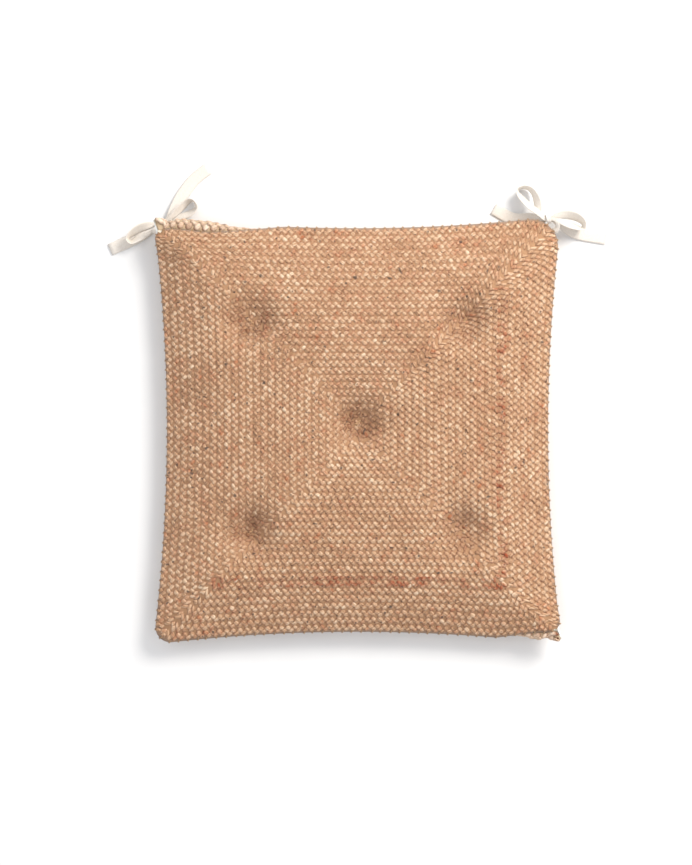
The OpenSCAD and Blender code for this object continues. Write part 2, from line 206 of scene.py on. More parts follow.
# %% Routes of the ties, in millimetres from each bow's base
RIGHT_REAR = [
    (6, -5.5, -4, 1, -0.6, 0.8, 0, 5),
    (9, -2.5, -2.6, 1, -0.8, 0.6, 0, 5),
    (9.5, 2.8, 0.6, 1, -0.9, -0.4, 0, 3.6),
    (5, 6, 0, 1, 0, -1, 0, 3.2),
    (-3, 6, 0, 1, 0, -1, 0, 3.2),
    (-9, 12, -0.6, 1, -0.5, -0.6, 0.4, 6),
    (-18, 20, 1, 0.6, -0.5, -0.4, 0.8, 11),
    (-26, 29, 3.5, 0.3, -0.5, -0.2, 0.9, 12),
    (-29, 36, 6.2, 0.05, -0.2, 0, 1, 12),
    (-24, 39, 6.6, 0, 0, 0.2, 1, 12),
    (-17, 37, 6.2, 0.05, 0.2, 0.2, 1, 12),
    (-12, 30, 3.5, 0.3, 0.4, 0.1, 0.9, 12),
    (-9, 20, 2, 0.55, 0.6, 0.2, 0.5, 9),
    (-8.4, 12.5, -4.6, 1, 0.9, 0.2, 0.1, 4),
    (-5.6, 7, -4.1, 1, 0.6, 0.8, 0, 3),
    (4, 5.8, -4, 1, 0.1, 1, 0, 3),
    (13, 1, -1.5, 0.6, 0.4, 0.9, 0, 7),
    (30, -6.5, 0.6, 0.06, 0.3, 1, 0, 12),
    (59, -12, 1, 0, 0.1, 1, 0, 12),
]
RIGHT_SIDE = [
    (-9, 6.6, -6.2, 1, 0.3, 1, 0, 3.4),
    (-5.4, 5.2, -6.6, 1, 0.2, 1, 0, 3.2),
    (-2.6, 5, -6, 1, -0.4, 0.8, 0, 3.2),
    (-1.8, 8, -6, 1, -1, 0, 0, 3.2),
    (-1, 10.3, -2, 1, -1, 0, 0, 3.4),
    (-0.2, 8, 2, 1, -1, 0, 0, 4),
    (0.8, 4, 2, 1, -1, 0, 0, 4),
    (1.6, 2, -2, 1, -1, 0, 0, 3.4),
    (2.4, 4.5, -6.2, 1, -1, 0.3, 0, 3.2),
    (6, 9, -6.4, 1, -0.7, 0.7, 0.2, 3.6),
    (16, 11.5, -2, 0.7, -0.2, 0.8, 0.5, 9),
    (28, 9.5, 3, 0.35, 0.2, 0.6, 0.8, 12),
    (36, 3.5, 8.5, 0, 0.3, 0.2, 1, 12),
    (35, -2, 8.5, 0, 0.2, -0.4, 1, 12),
    (25, 0, 5, 0.35, 0, -0.6, 0.8, 11),
    (13, 3.4, -2.2, 1, -0.1, -0.9, 0.3, 5),
    (5, 6, -2, 1, 0, -1, 0, 3.2),
    (-8, 6, -2.1, 1, 0, -1, 0, 3.2),
    (-15, 8.5, 1, 0.6, 0.2, -1, 0.1, 8),
    (-34, 8, 1, 0.04, -0.1, -1, 0, 12),
    (-53, 18, 1, 0, -0.5, -0.9, 0, 12),
]
LEFT_REAR = [
    (-2.6, -9, -7.5, 1, -0.2, -1, 0, 4),
    (-6.2, -8.4, 10.4, 0, -0.5, -0.8, 0, 4),
    (-6.2, -5.6, 8.4, 0, -1, -0.2, 0, 3.6),
    (-2.9, -3.4, 7.5, 0, -0.6, 0.8, 0, 3.2),
    (4.3, 2, 7.5, 0, -0.6, 0.8, 0, 3.2),
    (10, 6, 8.2, 0, -0.5, 0.7, 0.3, 5),
    (17, 12.5, 7.8, 0, -0.4, 0.5, 0.7, 9),
    (26, 21, 6.8, 0, -0.3, 0.3, 0.9, 12),
    (32, 22.5, 6.6, 0, 0, 0.1, 1, 12),
    (35, 16, 6.6, 0, 0.3, -0.1, 1, 12),
    (30, 10.5, 6.4, 0, 0.3, -0.4, 0.8, 12),
    (19, 6, 5, 0, 0.3, -0.7, 0.6, 9),
    (10, 3, 3.8, 0, 0.4, -0.9, 0.2, 4.4),
    (4.3, 1.8, 3.7, 0, 0.6, -0.8, 0, 3.2),
    (-2.9, -3.4, 3.7, 0, 0.6, -0.8, 0, 3.2),
    (-12, -9.4, 2.2, 0, 0.5, -0.9, 0, 6),
    (-26, -14.8, 0.9, 0, 0.4, -0.9, 0, 12),
    (-51, -26, 1, 0, 0.4, -0.9, 0, 12),
]
LEFT_SIDE = [
    (11.4, 1, -10.5, 1, -0.7, 0.7, 0, 4),
    (8.4, -1.4, 4.4, 0, -0.7, 0.7, 0, 3.4),
    (4.6, -2.6, 1.6, 0, 0.2, 1, 0, 3.2),
    (0.9, 2, 1.5, 0, 0.8, 0.6, 0, 3.2),
    (-0.9, 3.1, 5.6, 0, 0.8, 0.6, 0, 3.4),
    (-0.3, 1, 9.6, 0, 0.8, 0.6, 0, 3.6),
    (1.3, -2.8, 9.6, 0, 0.8, 0.6, 0, 3.6),
    (1.8, -4.9, 5.6, 0, 0.8, 0.6, 0, 3.4),
    (-0.3, -3.3, 1.4, 0, 0.7, 0.7, 0, 3),
    (-5.5, -0.6, 1.6, 0, 0.1, 1, 0, 3.2),
    (-13, -2.2, 5.4, 0, -0.2, 0.8, 0.5, 8),
    (-21, -5, 6.8, 0, -0.4, 0.5, 0.8, 12),
    (-29, -10, 7.8, 0, -0.4, 0.2, 0.9, 12),
    (-33, -15.5, 8, 0, -0.2, -0.2, 1, 12),
    (-29, -18.5, 8, 0, 0.1, -0.4, 0.9, 12),
    (-21, -14, 8.6, 0, 0.3, -0.6, 0.7, 11),
    (-11, -8.5, 6.2, 0, 0.4, -0.8, 0.2, 5),
    (-2.9, -3.4, 5.6, 0, 0.6, -0.8, 0, 3.2),
    (4.3, 2, 5.6, 0, 0.6, -0.8, 0, 3.2),
    (7.4, 7, 5, 0, 0.9, -0.5, 0, 4),
    (14, 18, 4, 0, 0.9, -0.5, 0.2, 9),
    (22, 30, 2.4, 0, 0.8, -0.6, 0.1, 12),
    (33, 44, 1.2, 0, 0.8, -0.6, 0, 12),
    (47, 55, 1, 0, 0.7, -0.7, 0, 12),
]


def corner_base(sign_x, radius, angle):
    turn = math.radians(angle)
    return Vector((sign_x * (HALF_W - radius) + radius * math.cos(turn),
                   HALF_D - radius + radius * math.sin(turn), 0))


right_base = corner_base(1, REAR_RIGHT_R, 50)
left_base = corner_base(-1, CORNER_R, 135)

# %% Sweep a tape along its route
TAPE_T = 0.8 * MM
TAPE_W = 12 * MM
TAPE_STEPS = 6
TAPE_ACROSS = 9


def smooth_rows(rows, steps):
    """Catmull-Rom through rows of numbers, with steps between each pair."""
    rows = np.array(rows, float)
    padded = np.vstack([2 * rows[0] - rows[1], rows, 2 * rows[-1] - rows[-2]])
    found = []
    for i in range(1, len(padded) - 2):
        a, b, c, d = padded[i - 1:i + 3]
        for k in range(steps):
            t = k / steps
            found.append(0.5 * (2 * b + (c - a) * t + (2 * a - 5 * b + 4 * c - d) * t ** 2
                                + (3 * b - a - 3 * c + d) * t ** 3))
    return np.array(found + [padded[-2]])


def tape_strip(name, base, route):
    """A flat strip with a cupped section that folds up where it is gathered. Returns it and its path."""
    table = []
    for x, y, z, lift, *width_way, width in route:
        place = base + Vector((x, y, z)) * MM + UP * lift * SEAM_Z
        table.append([*place, *Vector(width_way).normalized(), width * MM])
    table = smooth_rows(table, TAPE_STEPS)
    path = table[:, :3]
    along = np.gradient(path, axis=0)
    along /= np.linalg.norm(along, axis=1)[:, None]
    face = np.cross(along, table[:, 3:6])
    face /= np.linalg.norm(face, axis=1)[:, None]
    across = np.cross(face, along)
    travel = np.concatenate([[0], np.cumsum(np.linalg.norm(np.diff(path, axis=0), axis=1))])
    rings, uvs = [], []
    for i, width in enumerate(table[:, 6]):
        gather = 1 - width / TAPE_W
        section = []
        for side in (1, -1):
            for k in range(TAPE_ACROSS):
                u = (k / (TAPE_ACROSS - 1)) * 2 - 1
                u *= side
                pleat = gather * 0.7 * MM * math.cos(u * math.pi * 2.5)
                cup = 0.25 * MM * (1 - u * u)
                edge = 0.55 + 0.45 * math.sqrt(max(0, 1 - u ** 8))
                lift = pleat * 0.6 + cup + side * TAPE_T / 2 * edge
                section.append(path[i] + across[i] * u * width / 2 + face[i] * lift)
                uvs.append(((u * 0.5 + 0.5) * TAPE_W, travel[i]))
        rings.append(section)
    count = 2 * TAPE_ACROSS
    points = [p for ring in rings for p in ring]
    faces = []
    for i in range(len(rings) - 1):
        for k in range(count):
            a, b = i * count + k, i * count + (k + 1) % count
            faces.append((a, b, b + count, a + count))
    last = (len(rings) - 1) * count
    for k in range(TAPE_ACROSS - 1):
        near, far = k, count - 1 - k
        faces.append((far, far - 1, near + 1, near))
        faces.append((last + near, last + near + 1, last + far - 1, last + far))
    piece = mesh_object(name, points, faces)
    layer = piece.data.uv_layers.new(name="tape")
    for loop in piece.data.loops:
        layer.data[loop.index].uv = uvs[loop.vertex_index]
    return piece, path, float(travel[-1])


TAPES = {
    "left_tie_rear_tape": (left_base, LEFT_REAR),
    "left_tie_side_tape": (left_base, LEFT_SIDE),
    "right_tie_rear_tape": (right_base, RIGHT_REAR),
    "right_tie_side_tape": (right_base, RIGHT_SIDE),
}
tapes = {}
for tape_name, (base, route) in TAPES.items():
    tapes[tape_name] = tape_strip(tape_name + "_cloth", base, route)
    print(f"{tape_name}: {tapes[tape_name][2] * 1000:.0f} mm of tape")

# %% [markdown]
# ## The pad's shape
# A stuffed square is crowned, its sides pull in between the corners, and each tuft draws a dimple. It
# could be modelled by a formula alone, but cloth under pressure gives the swell between the tufts for
# free. So a formula makes a slightly slack start, then a short cloth simulation with pressure inflates
# it with its seam and tufts held, and the move of each point is capped to keep the sewn size.

# %% The grid that both panels share
GRID = 80
FLAT_SPAN = 0.5
PLAN_INNER = 0.92


def corner_radius(a, b):
    return REAR_RIGHT_R if a > 0 and b > 0 else CORNER_R


def outline_point(a, b):
    """The rounded outline's point for a place on the unit square's edge."""
    radius = corner_radius(a, b)
    if abs(a) >= abs(b):
        y = abs(b) * HALF_D
        turn = math.pi / 4 * max(0, y - (HALF_D - radius)) / radius
        x = HALF_W if turn == 0 else HALF_W - radius + radius * math.cos(turn)
        y = y if turn == 0 else HALF_D - radius + radius * math.sin(turn)
    else:
        x = abs(a) * HALF_W
        turn = math.pi / 4 * max(0, x - (HALF_W - radius)) / radius
        y = HALF_D if turn == 0 else HALF_D - radius + radius * math.cos(turn)
        x = x if turn == 0 else HALF_W - radius + radius * math.sin(turn)
    return math.copysign(x, a), math.copysign(y, b)


def pull_share(along, half):
    return 1 - min(1, abs(along) / (half - CORNER_R)) ** 2


def plan_point(a, b):
    """Where a place on the flat square lands in plan, and its share of the way out."""
    t = max(abs(a), abs(b))
    if t == 0:
        return 0, 0, 0
    x, y = outline_point(a / t, b / t)
    share = t * (PLAN_INNER + (1 - PLAN_INNER) * t)
    x, y = x * share, y * share
    u, v = x / HALF_W, y / HALF_D
    return (x - SIDE_PULL * pull_share(y, HALF_D) * u * abs(u),
            y - END_PULL * pull_share(x, HALF_W) * v * abs(v), share)


steps = np.linspace(-1, 1, GRID + 1)
plan = np.array([[plan_point(a, b) for a in steps] for b in steps])
plan_x, plan_y, share = plan[..., 0], plan[..., 1], plan[..., 2]
flat_x, flat_y = np.meshgrid(steps * HALF_W, steps * HALF_D)

# %% Start heights
PLAIT_H = 2.0 * MM
DOME_SQUARE = 4
DOME_FULL = 1.15
ROLL_W = 30 * MM
ROLL_BEND = 1.6
TOP_DIMPLE = 17 * MM
BOTTOM_DIMPLE = 7 * MM
TOP_DIMPLE_W = 23 * MM
BOTTOM_DIMPLE_W = 17 * MM


def dimple_depth(depth, width):
    deepest = np.zeros_like(plan_x)
    for place in tufts.values():
        away = ((plan_x - place.x) ** 2 + (plan_y - place.y) ** 2) / width ** 2
        deepest = np.maximum(deepest, depth * np.exp(-away))
    return deepest


dome = np.clip(1 - share ** DOME_SQUARE, 0, 1) ** DOME_FULL
roll_start = 1 - ROLL_W / HALF_W
roll = np.clip((share - roll_start) / (1 - roll_start), 0, 1) ** ROLL_BEND
top_z = SEAM_Z + (CROWN_Z - SEAM_Z - PLAIT_H) * dome - dimple_depth(TOP_DIMPLE, TOP_DIMPLE_W)
bottom_z = PLAIT_H + (SEAM_Z - PLAIT_H) * roll + dimple_depth(BOTTOM_DIMPLE, BOTTOM_DIMPLE_W)
upper = np.dstack([plan_x, plan_y, top_z])
lower = np.dstack([plan_x, plan_y, np.minimum(bottom_z, SEAM_Z)])


# %% Closed bodies from two layers of the grid
def grid_faces(first, flip):
    found = []
    for j in range(GRID):
        for i in range(GRID):
            a = first + j * (GRID + 1) + i
            quad = (a, a + 1, a + GRID + 2, a + GRID + 1)
            found.append(quad[::-1] if flip else quad)
    return found


def rim_indices():
    edge = GRID + 1
    return ([i for i in range(GRID)] + [GRID + j * edge for j in range(GRID)]
            + [edge * edge - 1 - i for i in range(GRID)] + [edge * (GRID - j) for j in range(GRID)])


def closed_body(name, over, under, one_rim=False):
    """A closed solid between two layers, with a wall round it or with one rim for both."""
    count = (GRID + 1) ** 2
    points = np.vstack([over.reshape(-1, 3), under.reshape(-1, 3)])
    faces = grid_faces(0, False) + grid_faces(count, True)
    rim = rim_indices()
    if one_rim:
        shared = {i + count: i for i in rim}
        faces = [tuple(shared.get(i, i) for i in face) for face in faces]
    else:
        faces += [(a, a + count, b + count, b) for a, b in zip(rim, rim[1:] + rim[:1])]
    return mesh_object(name, points, faces)


def layer_normals(layer, sign):
    """Outward normals of one layer, from its neighbours on the grid."""
    across = np.gradient(layer, axis=1)
    along = np.gradient(layer, axis=0)
    normal = np.cross(across, along) * sign
    return normal / np.linalg.norm(normal, axis=2)[..., None]


# %% Inflate the pad as cloth
SIM_FRAMES = 20
CLOTH = {"quality": 6, "mass": 0.0012, "tension_stiffness": 25, "compression_stiffness": 25,
         "shear_stiffness": 12, "bending_stiffness": 4, "use_pressure": True,
         "uniform_pressure_force": 4.0, "vertex_group_mass": "held"}
MOVE_CAP = 9 * MM
HOLD_R = 5 * MM


def inflate(over, under):
    """Cloth with pressure inside, held at its seam and tufts. Returns the two layers as they end."""
    pad = closed_body("pad_cloth", over, under, one_rim=True)
    count = (GRID + 1) ** 2
    rim = set(rim_indices())
    held = pad.vertex_groups.new(name="held")
    flat_points = np.vstack([over.reshape(-1, 3), under.reshape(-1, 3)])
    for i, p in enumerate(flat_points):
        near = min(math.hypot(p[0] - t.x, p[1] - t.y) for t in tufts.values())
        if i % count in rim or near < HOLD_R:
            held.add([i], 1, "REPLACE")
    cloth = pad.modifiers.new("cloth", "CLOTH")
    for key, value in CLOTH.items():
        setattr(cloth.settings, key, value)
    cloth.settings.effector_weights.gravity = 0
    cloth.collision_settings.use_self_collision = False
    cloth.point_cache.frame_start = 1
    cloth.point_cache.frame_end = SIM_FRAMES
    for step in range(1, SIM_FRAMES + 1):
        bpy.context.scene.frame_set(step)
    settled = pad.evaluated_get(bpy.context.evaluated_depsgraph_get()).to_mesh()
    moved = np.array([v.co for v in settled.vertices], float)
    bpy.context.scene.frame_set(1)
    bpy.data.objects.remove(pad)
    move = moved - flat_points
    size = np.linalg.norm(move, axis=1)
    move *= (np.minimum(size, MOVE_CAP) / np.maximum(size, 1e-9))[:, None]
    found = (flat_points + move).reshape(2, GRID + 1, GRID + 1, 3)
    print(f"pressure moved the pad by up to {size.max() * 1000:.1f} mm, mean {size.mean() * 1000:.1f} mm")
    return found[0], found[1]


upper, lower = inflate(upper, lower)

# %% Uneven by hand, and flat where it rests
UNEVEN = 1.0 * MM
UNEVEN_SCALE = 26
REST_GAP = 0.5 * MM


def unevenness(layer, seed):
    rows = [[noise.noise(Vector((p[0] * UNEVEN_SCALE, p[1] * UNEVEN_SCALE, seed))) for p in row]
            for row in layer]
    return np.array(rows) * UNEVEN * np.clip((1 - share) * 6, 0, 1)


upper[..., 2] += unevenness(upper, 3.1)
upper[..., 2] = np.minimum(upper[..., 2], CROWN_Z + 2 * MM)
upper[..., 2] = np.maximum(upper[..., 2], SEAM_Z)
lower[..., 2] = np.clip(lower[..., 2], PLAIT_H + REST_GAP, SEAM_Z)


# %% Where the seam has rolled onto the top
ROLL_REACH = 45 * MM
ROLL_LIFT = 8 * MM
REAR_ROLL_START = -72 * MM
REAR_ROLL_GROWS = 75 * MM
FRONT_ROLL_START = 138 * MM
FRONT_ROLL_GROWS = 40 * MM
FRONT_ROLL_FULL = 0.9
ROLL_BACK = 11 * MM
ROLL_LOWER_D = np.array([0, 5, 10, 16, 25, 35, 55]) * MM
ROLL_LOWER_Y = np.array([-11, 0.3, 10.1, 15.5, 14.5, 9, 0]) * MM
ROLL_LOWER_Z = np.array([8, 11.6, 10.6, 6.7, 2, 0, 0]) * MM


def rolled(layer, is_lower):
    """A layer with its seam carried up and back at the rear left and the front right."""
    moved = layer.copy()
    for way, amount in ((1, rear_roll), (-1, front_roll)):
        from_edge = HALF_D - way * flat_y
        near = np.clip(1 - from_edge / ROLL_REACH, 0, 1)
        if is_lower:
            back = np.interp(from_edge, ROLL_LOWER_D, ROLL_LOWER_Y)
            rise = np.interp(from_edge, ROLL_LOWER_D, ROLL_LOWER_Z)
        else:
            back, rise = -ROLL_BACK * near ** 1.5, ROLL_LIFT * near
        moved[..., 1] += way * amount * back
        moved[..., 2] += amount * rise
    return moved


rear_roll = np.clip((REAR_ROLL_START - flat_x) / REAR_ROLL_GROWS, 0, 1)
front_roll = FRONT_ROLL_FULL * np.clip((flat_x - FRONT_ROLL_START) / FRONT_ROLL_GROWS, 0, 1)
seam_z = SEAM_Z + ROLL_LIFT * (rear_roll * np.clip(1 - (HALF_D - flat_y) / ROLL_REACH, 0, 1)
                               + front_roll * np.clip(1 - (HALF_D + flat_y) / ROLL_REACH, 0, 1))
upper, lower = rolled(upper, False), rolled(lower, True)
upper_normal = layer_normals(upper, 1)
lower_normal = layer_normals(lower, -1)
print(f"top of the pad {upper[..., 2].max() * 1000:.1f} mm")
print(f"centre dimple {upper[GRID // 2, GRID // 2, 2] * 1000:.1f} mm")


# %% [markdown]
# ## Surfaces that the plaits are laid on
# A plait is drawn flat first, as a coil on a table, and then carried to the pad. For that each panel
# has a guide sheet: a mesh whose points remember their place on the flat coil, as a UV map, and which
# way is out, as a vector attribute. The guides are only tools and are removed at the end.

# %% Guide sheets
def guide_sheet(name, layer, normal, mirrored):
    piece = mesh_object(name, layer.reshape(-1, 3), grid_faces(0, mirrored))
    side = -1 if mirrored else 1
    u = side * flat_x.reshape(-1) / FLAT_SPAN + 0.5
    v = flat_y.reshape(-1) / FLAT_SPAN + 0.5
    uv_layer = piece.data.uv_layers.new(name="flat_place")
    for loop in piece.data.loops:
        uv_layer.data[loop.index].uv = (u[loop.vertex_index], v[loop.vertex_index])
    out = piece.data.attributes.new("out", "FLOAT_VECTOR", "POINT")
    out.data.foreach_set("vector", normal.reshape(-1).astype(np.float32))
    return piece


top_guide = guide_sheet("top_guide", upper, upper_normal, False)
bottom_guide = guide_sheet("bottom_guide", lower, lower_normal, True)

# %% [markdown]
# ## The plait
# A three-strand plait shows a row of plump lozenges on each side of its middle, slanted in towards it
# like the grains of an ear of wheat. Modelling the strands as tubes for all 22 metres would take a
# million faces, so a Geometry Nodes tree lays one low lobe for each place where a strand comes over
# the top. The lobe is drawn in the tree as a short arched spindle. The coil is a rectangular spiral
# round a short straight start, which is what gives the mitred diagonals.

# %% The coil's path
CORE = 9 * MM


def coil_path(name, pitch, turns):
    """The flat coil as a line: a short core, then square turns that step out by one pitch."""
    corners = [(0, CORE), (0, -CORE)]
    for k in range(1, turns + 1):
        out = k * pitch
        far = CORE + out
        corners += [(out, pitch - far), (out, far), (-out, far), (-out, -far)]
    corners.append((turns * pitch, -(CORE + turns * pitch)))
    return line_object(name, [[(x, y, 0) for x, y in corners]])


# %% The plait's node tree
def new_tree(name, sockets):
    """A geometry tree with a geometry in and out, and the named inputs that its sizes come from."""
    tree = bpy.data.node_groups.new(name, "GeometryNodeTree")
    face = tree.interface
    face.new_socket("Geometry", in_out="INPUT", socket_type="NodeSocketGeometry")
    for label, kind in sockets:
        face.new_socket(label, in_out="INPUT", socket_type="NodeSocket" + kind)
    face.new_socket("Geometry", in_out="OUTPUT", socket_type="NodeSocketGeometry")
    return tree, add(tree, "NodeGroupInput").outputs


def stored(tree, geometry, label, kind, value):
    return add(tree, "StoreNamedAttribute",
               {"Geometry": geometry, "Name": label, "Value": value}, data_type=kind)


def read(tree, label, kind="FLOAT"):
    return add(tree, "InputNamedAttribute", {"Name": label}, data_type=kind)


def plait_tree():
    tree, given = new_tree("coiled plait", [
        ("Guide", "Object"), ("Material", "Material"), ("Step", "Float"), ("Length", "Float"),
        ("Width", "Float"), ("Height", "Float"), ("Side", "Float"), ("Lean", "Float"),
        ("Wobble", "Float"), ("Hop", "Float"), ("Roll", "Float"), ("Seed", "Int")])

    # one lobe: an arched line, swept with a flat oval that swells in the middle
    half = maths(tree, "MULTIPLY", given["Length"], 0.5)
    back = maths(tree, "MULTIPLY", half, -1.0)
    sink = maths(tree, "MULTIPLY", given["Height"], -0.45)
    rise = maths(tree, "MULTIPLY", given["Height"], 0.9)
    tail = add(tree, "CombineXYZ", {"X": back, "Z": sink})
    head = add(tree, "CombineXYZ", {"X": half, "Z": sink})
    peak = add(tree, "CombineXYZ", {"Z": rise})
    arch = add(tree, "CurveQuadraticBezier",
               {"Resolution": 4, "Start": tail, "Middle": peak, "End": head})
    along = add(tree, "SplineParameter").outputs["Factor"]
    swell = between(tree, along, low=0.14 * math.pi, high=0.86 * math.pi)
    swell = maths(tree, "SINE", swell)
    ring = add(tree, "CurvePrimitiveCircle", {"Resolution": 6, "Radius": 0.5})
    oval = add(tree, "CombineXYZ", {"X": given["Width"], "Y": given["Height"], "Z": 1.0})
    oval = add(tree, "Transform", {"Geometry": ring, "Scale": oval})
    lobe = add(tree, "CurveToMesh",
               {"Curve": arch, "Profile Curve": oval, "Scale": swell, "Fill Caps": True})
    spot = add(tree, "InputPosition")
    lobe = stored(tree, lobe, "fibre", "FLOAT_VECTOR", spot)

    # the coil: rounded at its corners, with a point for each lobe
    coil = add(tree, "MeshToCurve", {"Mesh": given["Geometry"]})
    coil = add(tree, "FilletCurve", {"Curve": coil, "Count": 2, "Radius": 2.2 * MM}, mode="POLY")
    coil = add(tree, "ResampleCurve", {"Curve": coil, "Length": given["Step"]}, mode="LENGTH")
    index = add(tree, "InputIndex")
    odd = maths(tree, "MODULO", index, 2.0)
    side = between(tree, odd, low=-1.0, high=1.0)
    tangent = add(tree, "InputTangent")
    lean = maths(tree, "MULTIPLY", side, given["Lean"])

    # each strand's colour changes slowly along the coil, and each lobe has a tint of its own
    length = add(tree, "SplineParameter").outputs["Length"]
    strand = maths(tree, "MODULO", index, 3.0)
    strand = maths(tree, "MULTIPLY", strand, 17.3)
    travel = maths(tree, "MULTIPLY", length, 1 / (55 * MM))
    strand = add(tree, "CombineXYZ", {"X": strand, "Y": travel})
    tone = add(tree, "TexNoise", {"Vector": strand, "Scale": 1.0, "Detail": 2.0})
    tint = add(tree, "RandomValue", {"Seed": given["Seed"]}, data_type="FLOAT")

    # unevenness: how far each lobe turns, swells and stands proud
    seeds = [maths(tree, "ADD", given["Seed"], float(n)) for n in (7, 13, 19)]
    turn = add(tree, "RandomValue", {"Min": -1.0, "Max": 1.0, "Seed": seeds[0]}, data_type="FLOAT")
    turn = maths(tree, "MULTIPLY", turn, given["Wobble"])
    lean = maths(tree, "SUBTRACT", turn, lean)
    size = add(tree, "RandomValue", {"Min": 0.92, "Max": 1.1, "Seed": seeds[1]}, data_type="FLOAT")
    hop = add(tree, "RandomValue", {"Min": -1.0, "Max": 1.0, "Seed": seeds[2]}, data_type="FLOAT")
    hop = maths(tree, "MULTIPLY", hop, given["Hop"])

    # what each point needs is stored before the points move
    for label, kind, value in [("tone", "FLOAT", tone), ("tint", "FLOAT", tint), ("lean", "FLOAT", lean),
                               ("side", "FLOAT", side), ("heading", "FLOAT_VECTOR", tangent)]:
        coil = stored(tree, coil, label, kind, value)
    heading = read(tree, "heading", "FLOAT_VECTOR")
    lean = read(tree, "lean")
    side = read(tree, "side")
    aside = add(tree, "VectorMath", {0: (0, 0, 1), 1: heading}, operation="CROSS_PRODUCT")
    reach = maths(tree, "MULTIPLY", side, given["Side"])
    shift = add(tree, "VectorMath", {0: aside, "Scale": reach}, operation="SCALE")
    lift = add(tree, "CombineXYZ", {"Z": hop})
    shift = add(tree, "VectorMath", {0: shift, 1: lift}, operation="ADD")
    coil = add(tree, "SetPosition", {"Geometry": coil, "Offset": shift})
    facing = add(tree, "AlignRotationToVector", {"Vector": heading}, axis="X", pivot_axis="Z")
    dip = maths(tree, "MULTIPLY", side, given["Roll"])
    turned = facing
    for axis, angle in (((-1, 0, 0), dip), ((0, 0, 1), lean)):
        part = add(tree, "AxisAngleToRotation", {"Axis": axis, "Angle": angle})
        turned = add(tree, "RotateRotation", {"Rotation": turned, "Rotate By": part},
                     rotation_space="LOCAL")
    laid = add(tree, "InstanceOnPoints",
               {"Points": coil, "Instance": lobe, "Rotation": turned, "Scale": size})
    laid = add(tree, "RealizeInstances", {"Geometry": laid})
    spot = add(tree, "InputPosition")
    laid = stored(tree, laid, "flat", "FLOAT_VECTOR", spot)

    # carry the flat coil to the pad: its place on the guide, and out from it by the lobe's own height
    parts = add(tree, "SeparateXYZ", {0: spot}).outputs
    inset = 0.3 * MM
    u = add(tree, "Clamp", {"Value": parts["X"], "Min": inset - HALF_W, "Max": HALF_W - inset})
    v = add(tree, "Clamp", {"Value": parts["Y"], "Min": inset - HALF_D, "Max": HALF_D - inset})
    uv = add(tree, "CombineXYZ", {"X": u, "Y": v})
    uv = add(tree, "VectorMath", {0: uv, 1: (1 / FLAT_SPAN,) * 3, 2: (0.5, 0.5, 0)},
             operation="MULTIPLY_ADD")
    guide = add(tree, "GeometryNodeObjectInfo", {"Object": given["Guide"]}).outputs["Geometry"]
    uv_map = read(tree, "flat_place", "FLOAT_VECTOR")
    out_way = read(tree, "out", "FLOAT_VECTOR")
    where, outward = [
        add(tree, "SampleUVSurface",
            {"Mesh": guide, "Value": value, "Sample UV": uv, "UV Map": uv_map}, data_type="FLOAT_VECTOR")
        for value in (spot, out_way)]
    raised = add(tree, "VectorMath", {0: outward, "Scale": parts["Z"]}, operation="SCALE")
    place = add(tree, "VectorMath", {0: where, 1: raised}, operation="ADD")
    laid = add(tree, "SetPosition", {"Geometry": laid, "Position": place})
    laid = add(tree, "SetShadeSmooth", {"Geometry": laid})
    laid = add(tree, "SetMaterial", {"Geometry": laid, "Material": given["Material"]})
    add(tree, "NodeGroupOutput", {0: laid})
    return tree


def applied(name, source, tree, **values):
    """A plain mesh of what a tree makes from an object, with no modifier left."""
    modifier = source.modifiers.new("tree", "NODES")
    modifier.node_group = tree
    sockets = {s.name: s.identifier for s in tree.interface.items_tree
               if s.item_type == "SOCKET" and s.in_out == "INPUT"}
    for label, value in values.items():
        modifier[sockets[label.replace("_", " ")]] = value
    bpy.context.view_layer.update()
    mesh = bpy.data.meshes.new_from_object(source.evaluated_get(bpy.context.evaluated_depsgraph_get()))
    mesh.name = name
    bpy.data.objects.remove(source)
    piece = bpy.data.objects.new(name, mesh)
    bpy.context.scene.collection.objects.link(piece)
    print(f"{name}: {len(mesh.polygons)} faces")
    return piece


# %% [markdown]
# ## Finishes
# Jute is a bast fibre: long, dry, faintly glossy strands from straw to orange-brown, with bits of dark
# bark left in. It is hardly twisted, so every lobe of the plait shows fibres running along it, and
# neighbouring lobes differ in colour because each strand was spun from another bundle. The finish
# reads three values that the tree left on each point: the tone of the strand, the tint of the lobe and
# the place on the lobe, along which the fibres are drawn.

# %% A base for every finish
def finish(name, roughness, sheen=0.0, ior=1.5):
    material = bpy.data.materials.new(name)
    material.use_nodes = True
    tree = material.node_tree
    shader = tree.nodes["Principled BSDF"]
    shader.inputs["Roughness"].default_value = roughness
    shader.inputs["Sheen Weight"].default_value = sheen
    shader.inputs["IOR"].default_value = ior
    return material, tree, shader


def ramp(tree, factor, stops):
    """A colour ramp of (place, hex colour) stops."""
    node = add(tree, "ValToRGB", {0: factor})
    while len(node.color_ramp.elements) < len(stops):
        node.color_ramp.elements.new(1.0)
    for element, (place, code) in zip(node.color_ramp.elements, stops):
        element.position = place
        element.color = colour(code)
    return node


def surfaced(tree, shader, body, height, strength, depth):
    """Ends a finish: its colour, and a relief of some depth from a height."""
    tree.links.new(next(s for s in body.outputs if s.enabled), shader.inputs["Base Color"])
    bump = add(tree, "Bump", {"Strength": strength, "Distance": depth, "Height": height})
    tree.links.new(bump.outputs[0], shader.inputs["Normal"])


